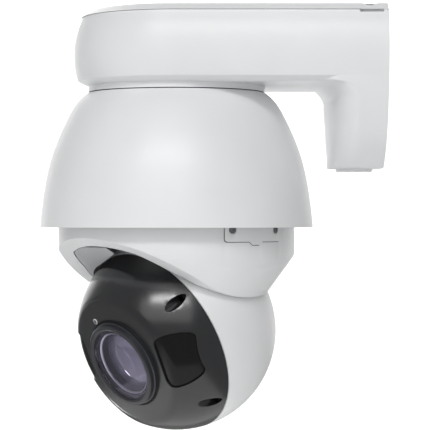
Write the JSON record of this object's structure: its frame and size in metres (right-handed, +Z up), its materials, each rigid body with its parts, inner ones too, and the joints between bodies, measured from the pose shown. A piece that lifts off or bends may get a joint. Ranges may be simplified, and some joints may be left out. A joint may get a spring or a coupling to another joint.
{
  "type": "ptz camera",
  "caption": "Outdoor pan-tilt-zoom camera hung from a cast wall arm, with a bell sunshield, a turning housing and a ball-shaped head with a coated zoom lens.",
  "frame": {"origin": "middle of the wall bolt pattern, on the wall face", "axes": "+X into the wall, so the camera hangs at -X; +Z up; the pan axis is parallel to Z at X = -175 mm"},
  "size_m": [0.2917, 0.2334, 0.3577],
  "materials": {
    "white_coat": "satin white polyester powder coat on cast aluminium",
    "white_shield": "satin white powder coat on spun aluminium",
    "white_shell": "satin white moulded polycarbonate",
    "dark_cover": "glossy dark grey polycarbonate",
    "smoked_window": "infrared-pass smoked acrylic",
    "clear_glass": "coated optical glass",
    "bezel_grey": "fine satin anodised aluminium",
    "black_rubber": "matt black EPDM rubber",
    "steel": "zinc-plated steel",
    "stainless": "stainless steel fasteners",
    "raw_aluminium": "machined aluminium, bare",
    "bronze": "sintered bronze",
    "circuit_board": "green solder mask on glass-fibre board",
    "black_plastic": "black moulded nylon",
    "motor_iron": "stacked lamination iron with resin coating",
    "led_clear": "clear epoxy lenses",
    "filter_glass": "blue-green infrared-cut glass"
  },
  "bodies": {
    "fixed_base": {"arm_casting": "white_coat", "arm_lid": "white_coat", "lid_screws": "stainless", "wall_seal": "black_rubber", "wall_plate": "steel", "conduit_plug": "white_shell", "neck_collar": "white_coat", "neck_gasket": "black_rubber", "sunshield": "white_shield", "base_housing": "white_coat", "hanger_screws": "stainless", "bearing_plate": "raw_aluminium", "plate_screws": "stainless", "pan_bearing_outer": "steel", "pan_motor_stator": "motor_iron", "slip_ring_body": "black_plastic", "power_board": "circuit_board", "main_board": "circuit_board", "board_spacers": "bronze", "board_parts": "black_plastic"},
    "pan_turret": {"pan_housing": "white_coat", "service_cover": "white_coat", "service_screws": "stainless", "pan_hub": "raw_aluminium", "turret_screws": "stainless", "pan_bearing_inner": "steel", "pan_bearing_balls": "steel", "hub_nut": "steel", "pan_motor_rotor": "motor_iron", "slip_ring_shaft": "bronze", "tilt_yoke": "raw_aluminium", "tilt_bushes": "bronze", "tilt_motor_stator": "motor_iron"},
    "camera_head": {"tilt_motor_rotor": "motor_iron", "rear_shell": "white_coat", "vent_plug": "black_plastic", "head_gasket": "black_rubber", "front_cover": "dark_cover", "ir_windows": "smoked_window", "light_sensor": "clear_glass", "cover_screws": "stainless", "lens_bezel": "bezel_grey", "lens_window": "clear_glass", "head_chassis": "raw_aluminium", "tilt_pins": "steel", "led_brackets": "raw_aluminium", "led_boards": "circuit_board", "infrared_leds": "led_clear", "lens_housing": "black_plastic", "front_element": "clear_glass", "lens_rails": "steel", "rail_holder": "black_plastic", "filter_track": "black_plastic", "sensor_board": "circuit_board", "image_sensor": "black_plastic"},
    "zoom_group": {"zoom_carrier": "black_plastic", "zoom_lens": "clear_glass"},
    "focus_group": {"focus_carrier": "black_plastic", "focus_lens": "clear_glass"},
    "filter_slide": {"ir_cut_filter": "filter_glass"}
  },
  "joints": [
    {"name": "pan", "type": "hinge", "parent": "fixed_base", "child": "pan_turret", "pos_m": [-0.175, 0, -0.2257], "axis": [0, 0, 1], "continuous": true},
    {"name": "tilt", "type": "hinge", "parent": "pan_turret", "child": "camera_head", "pos_m": [-0.175, 0, -0.2257], "axis": [0.6561, -0.7547, 0], "range_deg": [-24, 66]},
    {"name": "zoom", "type": "slide", "parent": "camera_head", "child": "zoom_group", "axis": [-0.6895, -0.5993, -0.4067], "range_m": [0, 0.024]},
    {"name": "focus", "type": "slide", "parent": "camera_head", "child": "focus_group", "axis": [-0.6895, -0.5993, -0.4067], "range_m": [-0.006, 0.006]},
    {"name": "filter_shift", "type": "slide", "parent": "camera_head", "child": "filter_slide", "axis": [0.6561, -0.7547, 0], "range_m": [0, 0.008]}
  ]
}
